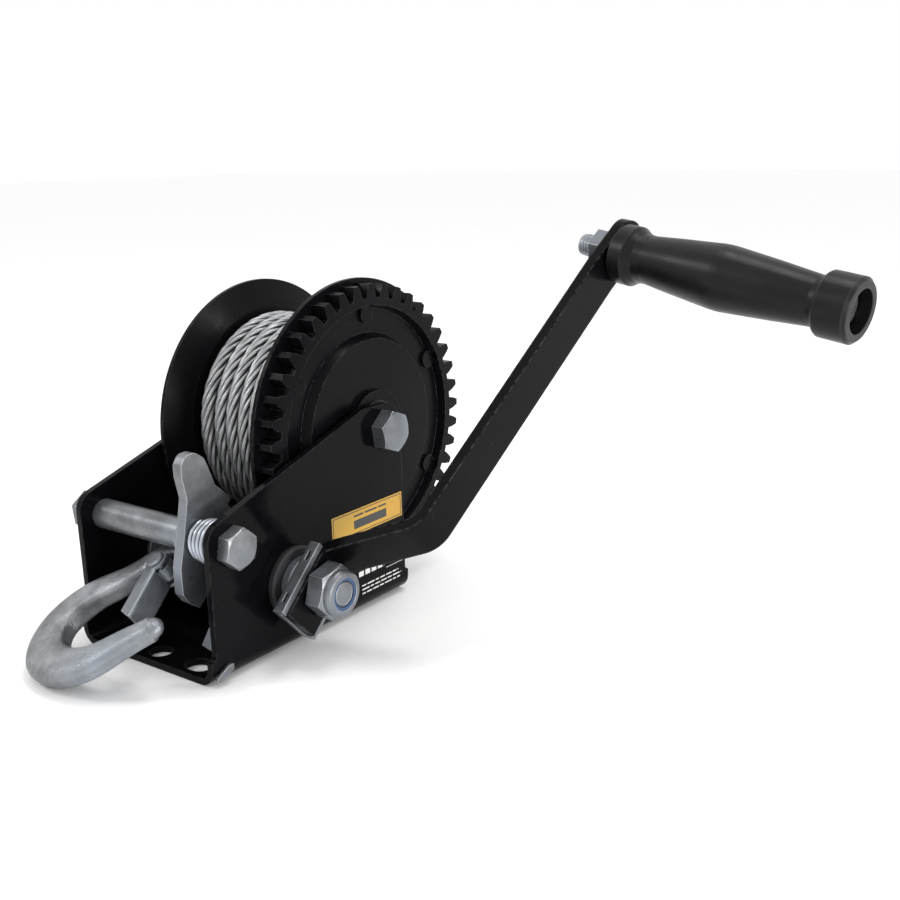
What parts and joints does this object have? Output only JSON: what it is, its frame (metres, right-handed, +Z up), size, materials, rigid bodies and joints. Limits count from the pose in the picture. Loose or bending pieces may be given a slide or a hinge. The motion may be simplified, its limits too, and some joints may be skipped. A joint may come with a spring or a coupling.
{
  "type": "boat trailer winch",
  "caption": "Hand winch with a folded steel frame, geared drum of wire rope, reversible ratchet pawl, swinging hook and a cranked handle with a loose grip.",
  "frame": {"origin": "centre of the base's bolt slots, on the underside of the base", "axes": "+X along the shafts towards the crank, +Y from the hook side to the drum side, +Z up off the base"},
  "size_m": [0.3076, 0.2521, 0.1825],
  "materials": {
    "frame_paint": "gloss",
    "drum_paint": "semi-gloss",
    "crank_paint": "gloss",
    "zinc_plate": "satin",
    "forged_zinc": "satin, mottled",
    "spring_steel": "polished",
    "wire_rope": "stranded",
    "black_bush": "matte",
    "grip_plastic": "satin",
    "nylon_insert": "semi-gloss",
    "label": "gloss"
  },
  "bodies": {
    "frame": {"frame": "frame_paint", "bush_left": "zinc_plate", "bush_right": "black_bush", "tie_tube": "zinc_plate", "tie_bolt": "zinc_plate", "tie_washer": "zinc_plate", "tie_nut": "zinc_plate", "drum_axle_bolt": "zinc_plate", "drum_axle_washer": "zinc_plate", "drum_axle_nut": "zinc_plate", "drum_axle_sleeve": "zinc_plate", "pawl_spring": "spring_steel", "pawl_washer": "zinc_plate", "rating_label": "label", "frame_clip": "zinc_plate", "cable_tail": "wire_rope", "cable_ferrule": "zinc_plate", "cable_loop": "wire_rope", "cable_thimble": "zinc_plate"},
    "drum": {"drum_hub": "drum_paint", "drum_flange_left": "drum_paint", "drum_flange_right": "drum_paint", "drum_gear": "drum_paint", "gear_rivets": "drum_paint", "drum_bush_left": "black_bush", "drum_bush_right": "black_bush", "wound_cable": "wire_rope"},
    "crank": {"pinion_shaft": "zinc_plate", "pinion": "zinc_plate", "ratchet_wheel": "zinc_plate", "shaft_collar": "zinc_plate", "shaft_circlip": "spring_steel", "crank_bracket": "zinc_plate", "crank_arm": "crank_paint", "crank_washer": "zinc_plate", "crank_nut": "zinc_plate", "crank_nut_insert": "nylon_insert", "grip_bolt": "zinc_plate", "grip_nut": "zinc_plate", "grip_washer": "zinc_plate"},
    "grip": {"grip": "grip_plastic"},
    "pawl": {"pawl": "zinc_plate"},
    "hook": {"hook": "forged_zinc", "latch_rivet": "zinc_plate"},
    "latch": {"hook_latch": "zinc_plate", "latch_spring": "spring_steel"}
  },
  "joints": [
    {"name": "crank_spin", "type": "hinge", "parent": "frame", "child": "crank", "pos_m": [0, -0.0153, 0.0315], "axis": [1, 0, 0], "continuous": true},
    {"name": "drum_spin", "type": "hinge", "parent": "frame", "child": "drum", "pos_m": [0, 0.0515, 0.0864], "axis": [1, 0, 0], "continuous": true},
    {"name": "grip_spin", "type": "hinge", "parent": "crank", "child": "grip", "pos_m": [0.18625, 0.11825, 0.15823], "axis": [0.9774, -0.1533, -0.1455], "continuous": true},
    {"name": "pawl_tilt", "type": "hinge", "parent": "frame", "child": "pawl", "pos_m": [0.0222, -0.0505, 0.0584], "axis": [1, 0, 0], "range_deg": [-10, 11.5]},
    {"name": "hook_swing", "type": "hinge", "parent": "frame", "child": "hook", "pos_m": [0.0033, -0.0398, 0.0509], "axis": [1, 0, 0], "range_deg": [-4, 0]},
    {"name": "latch_swing", "type": "hinge", "parent": "hook", "child": "latch", "pos_m": [0.00404, -0.05486, 0.04149], "axis": [-0.1901, -0.5272, 0.8282], "range_deg": [-35, 0], "stiffness_Nm_per_rad": 0.01, "springref_deg": 28.65}
  ],
  "couplings": [
    {"joint": "drum_spin", "follows": "crank_spin", "ratio": -0.29268}
  ]
}
